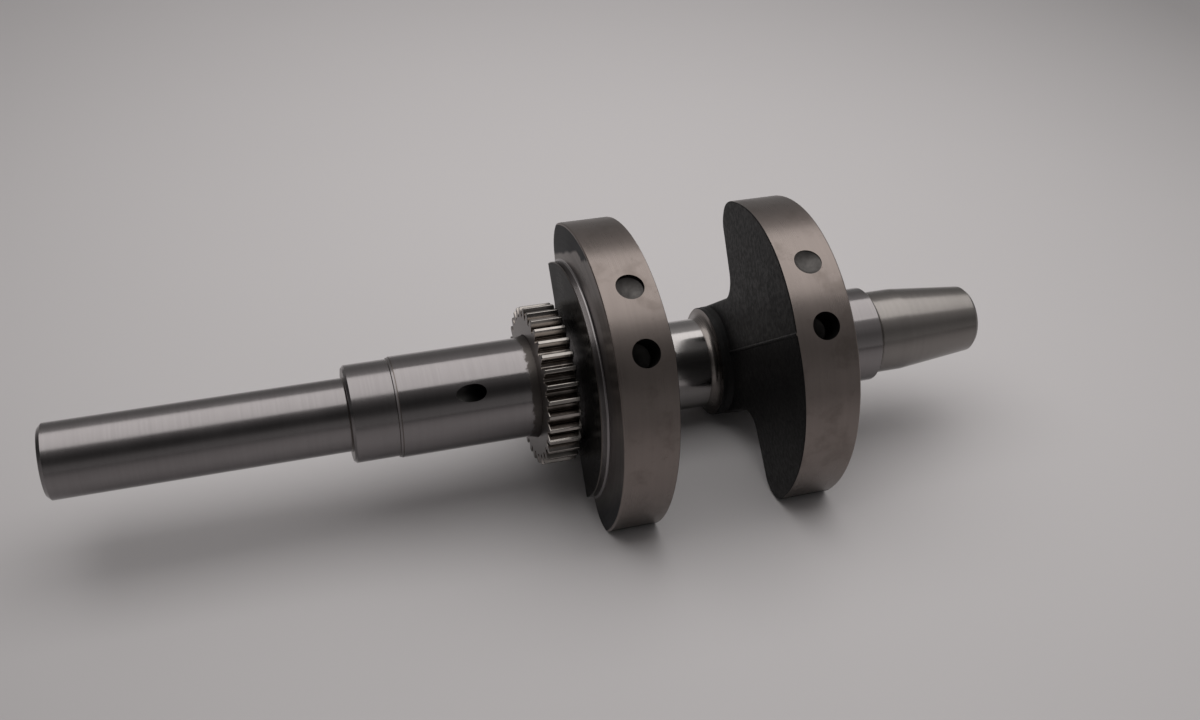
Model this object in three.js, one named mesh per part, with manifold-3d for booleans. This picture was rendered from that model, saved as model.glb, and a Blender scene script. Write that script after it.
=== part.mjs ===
// One-piece forged crankshaft of a small two-cylinder engine, with its pressed-on timing gear.
// Millimetres. X runs along the shaft from the power take-off (PTO) end to the flywheel end, +Z is up.
// The shaft lies as it comes to rest on a table: on the lower corner of each counterweight and
// on the crankpin end of each web. The origin is the bottom centre of the bounding box.

import * as THREE from 'three';
import { mergeVertices } from 'three/addons/utils/BufferGeometryUtils.js';
import { ConvexGeometry } from 'three/addons/geometries/ConvexGeometry.js';
import Module from 'manifold-3d';

const wasm = await Module();
wasm.setup();

// ---------------------------------------------------------------- driving dimensions

const FIT_GAP = 0.3; // clearance kept between pieces that touch in the real assembly

// PTO shaft, the standard 1-1/8 in output shaft, and the seal land behind it
const PTO_RADIUS = 14.2875;
const PTO_LENGTH = 110;
const PTO_CHAMFER = 1.5;
const SEAL_RADIUS = 19;
const SEAL_END = 127.1;
const SEAL_CHAMFER = 0.8;

// main journals, one each side of the webs
const JOURNAL_RADIUS = 19.8;
const JOURNAL_CHAMFER = 1.4;

// timing gear: 33 teeth of 14 diametral pitch
const GEAR_TEETH = 33;
const GEAR_PITCH_RADIUS = (GEAR_TEETH / 14) * 25.4 / 2;
const GEAR_ADDENDUM = 25.4 / 14;
const GEAR_DEDENDUM = 2.25;
const PRESSURE_ANGLE = THREE.MathUtils.degToRad(20);
const GEAR_START = 182.2;
const GEAR_WIDTH = 12.7;
const GEAR_SEAT_RADIUS = 20.3;
const GEAR_SHOULDER_RADIUS = 24.5;

// square key that turns the gear with the shaft
const KEY_WIDTH = 4.8;
const KEY_HEIGHT = 4.8;
const KEY_LENGTH = 10.5;
const KEY_DEPTH_IN_SHAFT = 2.9;

// webs: half-disc counterweights, each with a neck that carries one end of the crankpin.
// Their inner cheeks are as forged, thickest on the line through shaft and crankpin.
const WEB1_START = 201.6;
const WEB1_WIDTH = 22.8;
const WEB_GAP = 47.4;
const WEB2_WIDTH = 24;
const WEB_RADIUS = 62.8;
const WEB_BACK = -1.4; // straight back edge of the half disc
const WEB_CORNER_RADIUS = 9.6;
const NECK_FILLET = 9.2;
const BOSS_RADIUS = 24; // round end of the neck, and half the neck's width
const CHEEK_DRAFT = 0.036; // fall of the cheek per millimetre across the web
const FORGING_SPARE = 6; // stock left on each face of the web blank before turning
const TURNED_RISE = 1; // rise of the turned outer faces from the rim in to FLANGE_RADIUS

// thrust flange turned on the timing side of the first web
const FLANGE_RADIUS = 47.7;
const FLANGE_HEIGHT = 3;
const REAR_SHOULDER_RADIUS = 27;
const REAR_SHOULDER_HEIGHT = 3;

// crankpin and its thrust collars
const THROW = 34.925;
const PIN_RADIUS = 19.4;
const PIN_FILLET = 4;
const PIN_COLLAR_RADIUS = 23.7;
const PIN_COLLAR_HEIGHT = 3.4; // from the web's inner cheek to the ground thrust face
const PIN_COLLAR_SIDE = 2;
const PAD_RUN = 5; // how far the forged pad under the collar runs out towards the shaft
const PAD_SINK = 2;

// flywheel end: stub, 1:5 taper, chamfer
const REAR_JOURNAL_END = 328.8;
const UNDERCUT_WIDTH = 1.1;
const UNDERCUT_RADIUS = 16.7;
const STUB_RADIUS = 17.25;
const TAPER_START = 343;
const TAPER_END = 375.2;
const TAPER_END_RADIUS = 14.03;
const SHAFT_LENGTH = 376.7;
const TAPER_END_FACE_RADIUS = 12.7;

// balance drillings in the rim of both counterweights
const BALANCE_RADIUS = 5.4;
const BALANCE_OFFSET = 0.5; // from the middle of the rim towards the flywheel end
const BALANCE_POINT_ANGLE = THREE.MathUtils.degToRad(59); // half angle of the drill point
const BALANCE_HOLES = [
  // depths in web 1 and in web 2
  { angle: THREE.MathUtils.degToRad(-2.5), depths: [14, 14] },
  { angle: THREE.MathUtils.degToRad(-26.6), depths: [2.2, 0.6] },
];

// lubrication: one oblique drilling from the PTO journal to a plugged cavity in the crankpin
const OIL_INLET_X = 156.2;
const OIL_DRILL_RADIUS = 3.4;
const CAVITY_RADIUS = 6;
const CAVITY_END = 223;
const CROSS_HOLE_RADIUS = 2.4;
const PLUG_RADIUS = 8;
const PLUG_DEPTH = 6;
const PLUG_WALL = 1.5;

// tapped holes and keyways for what bolts on at the two ends
const PTO_HOLE_RADIUS = 4.95;
const PTO_HOLE_DEPTH = 38;
const TAPER_HOLE_RADIUS = 4.7;
const TAPER_HOLE_DEPTH = 34;
const COUNTERSINK = 1.6;
const PTO_KEYWAY = { width: 6.35, depth: 3.2, length: 48 };
const TAPER_KEYWAY = { width: 4.8, depth: 2.6, start: 347, length: 16 };

const ROUND = 48; // sides of a turned surface
const FINE = 20; // sides of a drilled hole

// ---------------------------------------------------------------- positions worked out from them

const web1 = { outer: WEB1_START, inner: WEB1_START + WEB1_WIDTH };
const web2 = { inner: web1.inner + WEB_GAP, outer: web1.inner + WEB_GAP + WEB2_WIDTH };
const gearEnd = GEAR_START + GEAR_WIDTH;
const flangeRoot = web1.outer - TURNED_RISE;
const flangeFace = flangeRoot - FLANGE_HEIGHT;
const corner = new THREE.Vector2(WEB_BACK - WEB_CORNER_RADIUS, 0); // centre of the web's rounded corner
corner.y = Math.sqrt((WEB_RADIUS - WEB_CORNER_RADIUS) ** 2 - corner.x ** 2);

// ---------------------------------------------------------------- materials

const groundSteel = new THREE.MeshStandardMaterial({ color: 0xb9b5b0, metalness: 1, roughness: 0.28 });
const gearSteel = new THREE.MeshStandardMaterial({ color: 0x9d958c, metalness: 1, roughness: 0.32 });
const plugSteel = new THREE.MeshStandardMaterial({ color: 0xa9a7a2, metalness: 1, roughness: 0.4 });

// ---------------------------------------------------------------- from geometry to solid and back

function solid(geometry) {
  const bare = geometry.clone();
  bare.deleteAttribute('normal');
  bare.deleteAttribute('uv');
  const merged = mergeVertices(bare, 1e-4);
  const index = merged.index.array;
  const triVerts = [];
  for (let i = 0; i < index.length; i += 3) {
    const [a, b, c] = [index[i], index[i + 1], index[i + 2]];
    if (a !== b && b !== c && c !== a) triVerts.push(a, b, c);
  }
  return new wasm.Manifold(
    new wasm.Mesh({
      numProp: 3,
      vertProperties: new Float32Array(merged.attributes.position.array),
      triVerts: new Uint32Array(triVerts),
    }),
  );
}

function meshFrom(manifold, name, material) {
  const data = manifold.getMesh();
  const geometry = new THREE.BufferGeometry();
  geometry.setAttribute('position', new THREE.BufferAttribute(data.vertProperties, 3));
  geometry.setIndex(new THREE.BufferAttribute(data.triVerts, 1));
  geometry.computeVertexNormals();
  const mesh = new THREE.Mesh(geometry, material);
  mesh.name = name;
  return mesh;
}

// ---------------------------------------------------------------- shapes used by several pieces
// The crank's own frame: x along the shaft, y towards the crankpin, z across.

// a solid turned about the shaft's axis, from points [x, radius] that start and end on the axis
function turned(points, sides = ROUND) {
  const profile = points.map(([x, radius]) => new THREE.Vector2(radius, x));
  return new THREE.LatheGeometry(profile, sides).rotateZ(-Math.PI / 2);
}

// an outline in the crank's y-z plane, extruded along the shaft from x = start to x = end
function extruded(shape, start, end, curveSegments = FINE) {
  const geometry = new THREE.ExtrudeGeometry(shape, { depth: end - start, bevelEnabled: false, curveSegments });
  const axes = new THREE.Matrix4().makeBasis(
    new THREE.Vector3(0, 1, 0),
    new THREE.Vector3(0, 0, 1),
    new THREE.Vector3(1, 0, 0),
  );
  return geometry.applyMatrix4(axes).translate(start, 0, 0);
}

function arcPoints(centre, radius, from, to, steps) {
  return Array.from({ length: steps + 1 }, (_, i) => {
    const angle = from + ((to - from) * i) / steps;
    return new THREE.Vector2(centre.x + radius * Math.cos(angle), centre.y + radius * Math.sin(angle));
  });
}

function atX(points, x) {
  return points.map((p) => new THREE.Vector3(x, p.x, p.y));
}

// a drill: a cylinder with an optional pointed end, mouth at the origin, cutting towards -Y
function drill(radius, depth, pointAngle = Math.PI / 2, sides = FINE) {
  const overrun = 6;
  const point = radius / Math.tan(pointAngle);
  const profile = [
    new THREE.Vector2(0, -depth - point),
    new THREE.Vector2(radius, -depth),
    new THREE.Vector2(radius, overrun),
    new THREE.Vector2(0, overrun),
  ];
  return new THREE.LatheGeometry(profile, sides);
}

// a straight round hole from one point to another, running a little past both
function boring(from, to, radius, sides = FINE) {
  const direction = new THREE.Vector3().subVectors(to, from);
  const geometry = new THREE.CylinderGeometry(radius, radius, direction.length(), sides);
  geometry.applyQuaternion(
    new THREE.Quaternion().setFromUnitVectors(new THREE.Vector3(0, 1, 0), direction.clone().normalize()),
  );
  const middle = new THREE.Vector3().addVectors(from, to).multiplyScalar(0.5);
  return geometry.translate(middle.x, middle.y, middle.z);
}

function block(sizeX, sizeY, sizeZ, centre) {
  return new THREE.BoxGeometry(sizeX, sizeY, sizeZ).translate(centre.x, centre.y, centre.z);
}

// ---------------------------------------------------------------- the forging

function ptoSide() {
  const hidden = web1.outer + 12;
  return turned([
    [0, 0],
    [0, PTO_RADIUS - PTO_CHAMFER],
    [PTO_CHAMFER, PTO_RADIUS],
    [PTO_LENGTH, PTO_RADIUS],
    [PTO_LENGTH, SEAL_RADIUS - SEAL_CHAMFER],
    [PTO_LENGTH + SEAL_CHAMFER, SEAL_RADIUS],
    [SEAL_END, SEAL_RADIUS],
    [SEAL_END + JOURNAL_CHAMFER, JOURNAL_RADIUS],
    [GEAR_START - 2, JOURNAL_RADIUS],
    [GEAR_START - 1, GEAR_SEAT_RADIUS],
    [gearEnd + FIT_GAP, GEAR_SEAT_RADIUS],
    [gearEnd + FIT_GAP, GEAR_SHOULDER_RADIUS],
    [hidden, GEAR_SHOULDER_RADIUS],
    [hidden, 0],
  ]);
}

function flywheelSide() {
  const hidden = web2.outer - 12;
  return turned([
    [hidden, 0],
    [hidden, JOURNAL_RADIUS],
    [REAR_JOURNAL_END - JOURNAL_CHAMFER, JOURNAL_RADIUS],
    [REAR_JOURNAL_END, JOURNAL_RADIUS - JOURNAL_CHAMFER],
    [REAR_JOURNAL_END, UNDERCUT_RADIUS],
    [REAR_JOURNAL_END + UNDERCUT_WIDTH, UNDERCUT_RADIUS],
    [REAR_JOURNAL_END + UNDERCUT_WIDTH, STUB_RADIUS],
    [TAPER_START, STUB_RADIUS],
    [TAPER_END, TAPER_END_RADIUS],
    [SHAFT_LENGTH, TAPER_END_FACE_RADIUS],
    [SHAFT_LENGTH, 0],
  ]);
}

// crankpin with its fillets and thrust collars, turned about its own axis
function crankpin() {
  const left = web1.inner + PIN_COLLAR_HEIGHT;
  const right = web2.inner - PIN_COLLAR_HEIGHT;
  const fillet = (x, side) =>
    [0, 1, 2, 3, 4].map((i) => {
      const angle = (i / 4) * (Math.PI / 2);
      const along = PIN_FILLET * (1 - Math.sin(angle));
      return [x + side * along, PIN_RADIUS + PIN_FILLET * (1 - Math.cos(angle))];
    });
  const hidden = 8;
  return turned([
    [web1.inner - hidden, 0],
    [web1.inner - hidden, PIN_COLLAR_RADIUS],
    [left, PIN_COLLAR_RADIUS],
    ...fillet(left, 1).reverse(),
    ...fillet(right, -1),
    [right, PIN_COLLAR_RADIUS],
    [web2.inner + hidden, PIN_COLLAR_RADIUS],
    [web2.inner + hidden, 0],
  ]).translate(0, THROW, 0);
}

// outline of a web: rim, rounded corners, straight back, and the neck that runs out to the crankpin
function webOutline() {
  const rimAngle = Math.atan2(corner.y, corner.x);
  const neckY = WEB_BACK + NECK_FILLET;
  const neckZ = BOSS_RADIUS + NECK_FILLET;
  const rim = arcPoints(new THREE.Vector2(), WEB_RADIUS, rimAngle, 2 * Math.PI - rimAngle, 48);
  const upperCorner = arcPoints(corner, WEB_CORNER_RADIUS, 0, rimAngle, 10);
  const lowerCorner = upperCorner.map((p) => new THREE.Vector2(p.x, -p.y)).reverse();
  const lowerFillet = arcPoints(new THREE.Vector2(neckY, -neckZ), NECK_FILLET, Math.PI, Math.PI / 2, 8);
  const upperFillet = lowerFillet.map((p) => new THREE.Vector2(p.x, -p.y)).reverse();
  const end = arcPoints(new THREE.Vector2(THROW, 0), BOSS_RADIUS, -Math.PI / 2, Math.PI / 2, 24);
  return new THREE.Shape([
    ...upperCorner,
    ...rim.slice(1, -1),
    ...lowerCorner,
    ...lowerFillet,
    ...end,
    ...upperFillet,
  ]);
}

// space between a web's turned outer face and its drafted inner cheek
function webEnvelope(web, turnedFace) {
  const side = Math.sign(web.inner - web.outer);
  const reach = 90;
  const cheek = new ConvexGeometry(
    [-reach, reach].flatMap((y) => [
      new THREE.Vector3(web.inner, y, 0),
      ...[-reach, reach].flatMap((z) => [
        new THREE.Vector3(web.inner - side * CHEEK_DRAFT * reach, y, z),
        new THREE.Vector3(web.outer - side * reach, y, z),
      ]),
    ]),
  );
  const profile = [
    ...turnedFace,
    [web.outer, WEB_RADIUS],
    [web.outer, reach],
    [web.inner + side, reach],
    [web.inner + side, 0],
  ];
  return solid(cheek).intersect(solid(turned(side > 0 ? profile : profile.reverse(), 2 * ROUND)));
}

function webs() {
  const thrustFace = [
    [flangeFace, 0],
    [flangeFace, FLANGE_RADIUS],
    [flangeRoot, FLANGE_RADIUS],
  ];
  const shoulderFace = [
    [web2.outer + REAR_SHOULDER_HEIGHT, 0],
    [web2.outer + REAR_SHOULDER_HEIGHT, REAR_SHOULDER_RADIUS],
    [web2.outer + TURNED_RISE, REAR_SHOULDER_RADIUS],
    [web2.outer + TURNED_RISE, FLANGE_RADIUS],
  ];
  return [
    [web1, thrustFace],
    [web2, shoulderFace],
  ].map(([web, turnedFace]) => {
    const [left, right] = [Math.min(web.outer, web.inner), Math.max(web.outer, web.inner)];
    const blank = extruded(webOutline(), left - FORGING_SPARE, right + FORGING_SPARE);
    return solid(blank).intersect(webEnvelope(web, turnedFace));
  });
}

// forged pad that runs out from the thrust collar onto the web's inner cheek
function pad(web, side) {
  const circle = (y, radius) => arcPoints(new THREE.Vector2(y, 0), radius, 0, 2 * Math.PI, ROUND).slice(1);
  const top = web.inner + side * (PIN_COLLAR_HEIGHT - PIN_COLLAR_SIDE);
  const foot = web.inner - side * PAD_SINK;
  return new ConvexGeometry([
    ...atX(circle(THROW, PIN_COLLAR_RADIUS + 0.1), top),
    ...atX(circle(THROW, BOSS_RADIUS - 0.1), foot),
    ...atX(circle(THROW - PAD_RUN, BOSS_RADIUS - 0.1), foot),
  ]);
}

// drillings in the rim, at each angle from the line opposite the crankpin
function balanceHoles() {
  return [web1, web2].flatMap((web, index) =>
    BALANCE_HOLES.map(({ angle, depths }) =>
      drill(BALANCE_RADIUS, depths[index], BALANCE_POINT_ANGLE)
        .translate(0, WEB_RADIUS, 0)
        .rotateX(Math.PI + angle)
        .translate((web.outer + web.inner) / 2 + BALANCE_OFFSET, 0, 0),
    ),
  );
}

function oilWays() {
  const pinMiddle = (web1.inner + web2.inner) / 2;
  const cavityStart = new THREE.Vector3(CAVITY_END, THROW, 0);
  const inlet = new THREE.Vector3(OIL_INLET_X, -JOURNAL_RADIUS, 0);
  const into = new THREE.Vector3().subVectors(cavityStart, inlet).normalize();
  const rodSpacing = (WEB_GAP - 2 * PIN_COLLAR_HEIGHT) / 4;
  const crossHoles = [-1, 1].map((side) => {
    const x = pinMiddle + side * rodSpacing;
    return boring(
      new THREE.Vector3(x, THROW, 0),
      new THREE.Vector3(x, THROW + PIN_RADIUS + 4, 0),
      CROSS_HOLE_RADIUS,
      16,
    );
  });
  return [
    boring(inlet.clone().addScaledVector(into, -6), cavityStart.clone().addScaledVector(into, 1), OIL_DRILL_RADIUS),
    boring(cavityStart, new THREE.Vector3(web2.outer - PLUG_DEPTH, THROW, 0), CAVITY_RADIUS),
    boring(
      new THREE.Vector3(web2.outer - PLUG_DEPTH - 0.5, THROW, 0),
      new THREE.Vector3(web2.outer + 4, THROW, 0),
      PLUG_RADIUS,
      32,
    ),
    ...crossHoles,
  ];
}

function endHoles() {
  const hole = (radius, depth, x, side) =>
    turned(
      [
        [-4, 0],
        [-4, radius + COUNTERSINK + 4],
        [COUNTERSINK, radius],
        [depth, radius],
        [depth + radius * 0.6, 0],
      ],
      FINE,
    )
      .rotateY(side > 0 ? 0 : Math.PI)
      .translate(x, 0, 0);
  return [
    hole(PTO_HOLE_RADIUS, PTO_HOLE_DEPTH, 0, 1),
    hole(TAPER_HOLE_RADIUS, TAPER_HOLE_DEPTH, SHAFT_LENGTH, -1),
  ];
}

// keyways lie in the crankpin's plane, on its side of the shaft
function keyways() {
  const tall = 10;
  const ptoFloor = PTO_RADIUS - PTO_KEYWAY.depth;
  const taperRadius = (x) =>
    STUB_RADIUS + ((x - TAPER_START) / (TAPER_END - TAPER_START)) * (TAPER_END_RADIUS - STUB_RADIUS);
  const taperMiddle = TAPER_KEYWAY.start + TAPER_KEYWAY.length / 2;
  const taperFloor = taperRadius(taperMiddle) - TAPER_KEYWAY.depth;
  const gearFloor = GEAR_SEAT_RADIUS - KEY_DEPTH_IN_SHAFT - FIT_GAP;
  const gearMiddle = GEAR_START + GEAR_WIDTH / 2;
  const slot = (length, width, x, floor) =>
    block(length, tall, width, new THREE.Vector3(x, floor + tall / 2, 0));
  return [
    slot(PTO_KEYWAY.length + 4, PTO_KEYWAY.width, PTO_KEYWAY.length / 2 - 2, ptoFloor),
    slot(TAPER_KEYWAY.length, TAPER_KEYWAY.width, taperMiddle, taperFloor),
    slot(KEY_LENGTH + 2 * FIT_GAP, KEY_WIDTH + 2 * FIT_GAP, gearMiddle, gearFloor),
  ];
}

function crankshaftForging() {
  const joined = [
    ...[ptoSide(), flywheelSide(), crankpin(), pad(web1, 1), pad(web2, -1)].map(solid),
    ...webs(),
  ];
  const cuts = [...balanceHoles(), ...oilWays(), ...endHoles(), ...keyways()].map(solid);
  let body = joined.reduce((whole, piece) => whole.add(piece));
  for (const cut of cuts) body = body.subtract(cut);
  return meshFrom(body, 'crankshaft_forging', groundSteel);
}

// ---------------------------------------------------------------- timing gear and its key

// half of one tooth's flank, from the root up: [radius, angle from the tooth's middle]
function toothFlank() {
  const baseRadius = GEAR_PITCH_RADIUS * Math.cos(PRESSURE_ANGLE);
  const rootRadius = GEAR_PITCH_RADIUS - GEAR_DEDENDUM;
  const tipRadius = GEAR_PITCH_RADIUS + GEAR_ADDENDUM;
  const involute = (radius) => {
    const roll = Math.sqrt(Math.max((radius / baseRadius) ** 2 - 1, 0));
    return roll - Math.atan(roll);
  };
  const halfAtPitch = Math.PI / (2 * GEAR_TEETH) + involute(GEAR_PITCH_RADIUS);
  const steps = 4;
  const flank = [[rootRadius, halfAtPitch + 0.008]];
  for (let i = 0; i <= steps; i++) {
    const radius = baseRadius + ((tipRadius - baseRadius) * i) / steps;
    flank.push([radius, halfAtPitch - involute(radius)]);
  }
  return flank;
}

function timingGear() {
  const flank = toothFlank();
  const shape = new THREE.Shape();
  for (let tooth = 0; tooth < GEAR_TEETH; tooth++) {
    const middle = (2 * Math.PI * tooth) / GEAR_TEETH;
    const rising = flank.map(([radius, half]) => [radius, middle - half]);
    const falling = flank.map(([radius, half]) => [radius, middle + half]).reverse();
    for (const [radius, angle] of [...rising, ...falling]) {
      const [y, z] = [radius * Math.cos(angle), radius * Math.sin(angle)];
      if (shape.curves.length === 0 && shape.currentPoint.lengthSq() === 0) shape.moveTo(y, z);
      else shape.lineTo(y, z);
    }
  }
  const bore = new THREE.Path();
  bore.absarc(0, 0, GEAR_SEAT_RADIUS + FIT_GAP, 0, 2 * Math.PI, true);
  shape.holes.push(bore);
  const keyTop = GEAR_SEAT_RADIUS - KEY_DEPTH_IN_SHAFT + KEY_HEIGHT + FIT_GAP;
  const keySlot = block(
    GEAR_WIDTH + 4,
    6,
    KEY_WIDTH + 2 * FIT_GAP,
    new THREE.Vector3(GEAR_START + GEAR_WIDTH / 2, keyTop - 3, 0),
  );
  const body = solid(extruded(shape, GEAR_START, gearEnd, ROUND)).subtract(solid(keySlot));
  return meshFrom(body, 'timing_gear', gearSteel);
}

function timingGearKey() {
  const centre = new THREE.Vector3(
    GEAR_START + GEAR_WIDTH / 2,
    GEAR_SEAT_RADIUS - KEY_DEPTH_IN_SHAFT + KEY_HEIGHT / 2,
    0,
  );
  return meshFrom(solid(block(KEY_LENGTH, KEY_HEIGHT, KEY_WIDTH, centre)), 'timing_gear_key', plugSteel);
}

// ---------------------------------------------------------------- cup plug that closes the oil cavity

function oilPlug() {
  const outer = PLUG_RADIUS - FIT_GAP;
  const inner = outer - PLUG_WALL;
  const floor = web2.outer - PLUG_DEPTH + FIT_GAP;
  const rim = web2.outer - 0.8;
  const geometry = turned(
    [
      [floor, 0],
      [floor, outer - 0.8],
      [floor + 0.8, outer],
      [rim, outer],
      [rim, inner],
      [floor + PLUG_WALL, inner],
      [floor + PLUG_WALL, 0],
    ],
    32,
  ).translate(0, THROW, 0);
  return meshFrom(solid(geometry), 'oil_gallery_plug', plugSteel);
}

// ---------------------------------------------------------------- assembly, laid down as it rests

// The table touches the outer corner of each counterweight and the round end of each web,
// so its direction is the common tangent of those two circles.
function restRoll() {
  const toCorner = new THREE.Vector2(corner.x - THROW, -corner.y);
  const lean = Math.acos((BOSS_RADIUS - WEB_CORNER_RADIUS) / toCorner.length());
  const down = toCorner.angle() - 2 * Math.PI + lean;
  return -Math.PI / 2 - down;
}

const crank = new THREE.Group();
crank.add(crankshaftForging(), timingGear(), timingGearKey(), oilPlug());
crank.rotation.x = restRoll();

const crankshaft = new THREE.Group();
crankshaft.add(crank);
crankshaft.updateMatrixWorld(true);
const box = new THREE.Box3().setFromObject(crankshaft, true);
const centre = box.getCenter(new THREE.Vector3());
crank.position.set(-centre.x, -centre.y, -box.min.z);

export default crankshaft;
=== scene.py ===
"""Looks of a forged crankshaft with its timing gear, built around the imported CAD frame."""

import math

import bmesh
import bpy
import numpy as np
from mathutils import Matrix, Vector


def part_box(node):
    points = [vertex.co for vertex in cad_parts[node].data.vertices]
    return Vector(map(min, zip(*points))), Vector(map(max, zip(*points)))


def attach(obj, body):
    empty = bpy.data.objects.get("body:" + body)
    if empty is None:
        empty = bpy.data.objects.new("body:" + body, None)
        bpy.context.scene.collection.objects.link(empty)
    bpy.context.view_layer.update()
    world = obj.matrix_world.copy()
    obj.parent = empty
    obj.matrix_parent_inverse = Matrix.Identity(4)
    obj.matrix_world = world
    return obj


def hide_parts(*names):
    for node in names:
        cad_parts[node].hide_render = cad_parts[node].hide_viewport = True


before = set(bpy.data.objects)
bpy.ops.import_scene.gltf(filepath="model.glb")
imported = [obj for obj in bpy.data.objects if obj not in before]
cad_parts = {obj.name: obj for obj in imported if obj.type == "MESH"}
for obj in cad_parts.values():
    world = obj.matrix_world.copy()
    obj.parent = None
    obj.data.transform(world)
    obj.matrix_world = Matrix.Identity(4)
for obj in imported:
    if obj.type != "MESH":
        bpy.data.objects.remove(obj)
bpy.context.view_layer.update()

MM = 0.001

# ---------------------------------------------------------------- dimensions, in millimetres
# The crank's own frame: x along the shaft from the output end, u towards the crankpin, w across.

PTO_RADIUS = 14.2875
PTO_LENGTH = 110
SEAL_RADIUS = 19
SEAL_END = 127.1
LEAD_IN_LENGTH = 1.4
JOURNAL_RADIUS = 19.8

GEAR_TEETH = 33
GEAR_PITCH_RADIUS = GEAR_TEETH / 14 * 25.4 / 2
GEAR_ADDENDUM = 25.4 / 14
GEAR_DEDENDUM = 2.25
PRESSURE_ANGLE = math.radians(20)
GEAR_START = 182.2
GEAR_WIDTH = 12.7
GEAR_SEAT_RADIUS = 20.3
GEAR_SEAT_LEAD = 3.4
GEAR_SHOULDER_RADIUS = 24.5
GEAR_EDGE = 0.35
KEY_SIZE = 4.8
KEY_LENGTH = 10.5
KEY_DEPTH_IN_SHAFT = 2.9

WEB1_START = 201.6
WEB1_WIDTH = 22.8
WEB_GAP = 47.4
WEB2_WIDTH = 24
WEB_RADIUS = 62.77
WEB_BACK = -1.4
WEB_CORNER_RADIUS = 9.6
NECK_FILLET = 9.2
BOSS_RADIUS = 23.97
CHEEK_DRAFT = 0.036
FORGED_ROUNDING = 1.3
RIM_ROUNDING = 0.55  # share of the forged rounding left where the cheek meets the rim
FLASH_LINE = 1.2
FLASH_HALF_WIDTH = 0.8
FLASH_HEIGHT = 0.35
TURNED_RISE = 1
RIM_EDGE = 0.8
FLANGE_RADIUS = 47.7
FLANGE_HEIGHT = 3
FLANGE_FILLET = 0.9
REAR_SHOULDER_RADIUS = 27
REAR_SHOULDER_HEIGHT = 3

THROW = 34.925
PIN_RADIUS = 19.4
PIN_FILLET = 4
PIN_COLLAR_RADIUS = 23.7
PIN_COLLAR_HEIGHT = 3.4
PIN_COLLAR_SIDE = 2
PAD_RUN = 5

REAR_JOURNAL_END = 328.8
REAR_CHAMFER = 1
UNDERCUT_WIDTH = 1.1
UNDERCUT_RADIUS = 16.7
STUB_RADIUS = 17.25
TAPER_START = 343
TAPER_END = 375.2
TAPER_END_RADIUS = 14.03
SHAFT_LENGTH = 376.7

BALANCE_RADIUS = 5.4
BALANCE_OFFSET = 0.5
BALANCE_POINT = math.radians(59)
DEEP_HOLE = {"angle": math.radians(-2.5), "depth": 14}
SHALLOW_ANGLE = math.radians(-26.6)

OIL_INLET_X = 156.2
OIL_DRILL_RADIUS = 3.4
CAVITY_START = 223
CAVITY_RADIUS = 6
CROSS_HOLE_RADIUS = 2.4
PLUG_RADIUS = 8
PLUG_DEPTH = 6
PLUG_WALL = 1.5
PTO_KEYWAY_END = 48
PTO_KEYWAY_WIDTH = 6.35
PTO_KEYWAY_DEPTH = 3.2
TAPER_KEYWAY_START = 347
TAPER_KEYWAY_END = 363
TAPER_KEYWAY_WIDTH = 4.8
TAPER_KEYWAY_FLOOR = 13.45
PTO_CENTRE_HOLE = {"x": 0, "turn": 0, "radius": 4.95, "depth": 38}
TAPER_CENTRE_HOLE = {"x": SHAFT_LENGTH, "turn": math.pi, "radius": 4.7, "depth": 34}

FIT_GAP = 0.3  # as in the CAD
HIDDEN_OVERLAP = 12  # how far the shaft's two halves reach into the webs
RIM_STOCK = 0.15
STOCK_DEPTH = 6

SIDES = 360
FINE = 64

WEB1_END = WEB1_START + WEB1_WIDTH
WEB2_START = WEB1_END + WEB_GAP
web1 = {"outer": WEB1_START, "inner": WEB1_END, "side": 1, "shallow": 2.2}
web2 = {"inner": WEB2_START, "outer": WEB2_START + WEB2_WIDTH, "side": -1, "shallow": 0.6}
GEAR_END = GEAR_START + GEAR_WIDTH

# ---------------------------------------------------------------- where the crank lies in the frame


def corner_centre():
    """Centre of the rounded corner between a web's rim and its straight back."""
    u = WEB_BACK - WEB_CORNER_RADIUS
    return np.array([u, math.sqrt((WEB_RADIUS - WEB_CORNER_RADIUS) ** 2 - u**2)])


def rest_roll():
    """Angle by which the crankpin lies below the shaft when corners and pin bosses touch the table."""
    corner = corner_centre()
    to_corner = np.array([corner[0] - THROW, -corner[1]])
    lean = math.acos((BOSS_RADIUS - WEB_CORNER_RADIUS) / np.hypot(*to_corner))
    return math.pi / 2 + math.atan2(to_corner[1], to_corner[0]) + lean


def crank_to_row():
    """Matrix from the crank's own frame to the row frame, from the plug's and the forging's CAD boxes."""
    roll = rest_roll()
    plug_low, plug_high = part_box("oil_gallery_plug")
    shaft_low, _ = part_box("crankshaft_forging")
    pin = (plug_low + plug_high) / 2
    back = Vector((0, math.cos(roll), -math.sin(roll))) * THROW * MM
    origin = Vector((shaft_low.x, pin.y, pin.z)) - back
    return Matrix.Translation(origin) @ Matrix.Rotation(-roll, 4, "X")


CRANK = crank_to_row()

# ---------------------------------------------------------------- finishes of the forging's faces

SATIN, TAPER, POLISHED, PIN, PIN_SIDE, RIM, FACE, FLANGE, FORGED, DRILLED, DIMPLE = range(11)

# ---------------------------------------------------------------- mesh code


def make_object(name, vertices, faces, slots, materials):
    """Object from crank-frame millimetres, with its vertices moved into the row frame."""
    mesh = bpy.data.meshes.new(name)
    mesh.from_pydata((np.asarray(vertices, float) * MM).tolist(), [], faces)
    mesh.transform(CRANK)
    for material in materials:
        mesh.materials.append(material)
    mesh.polygons.foreach_set("material_index", slots)
    mesh.update()
    piece = bpy.data.objects.new(name, mesh)
    bpy.context.scene.collection.objects.link(piece)
    return piece


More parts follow.
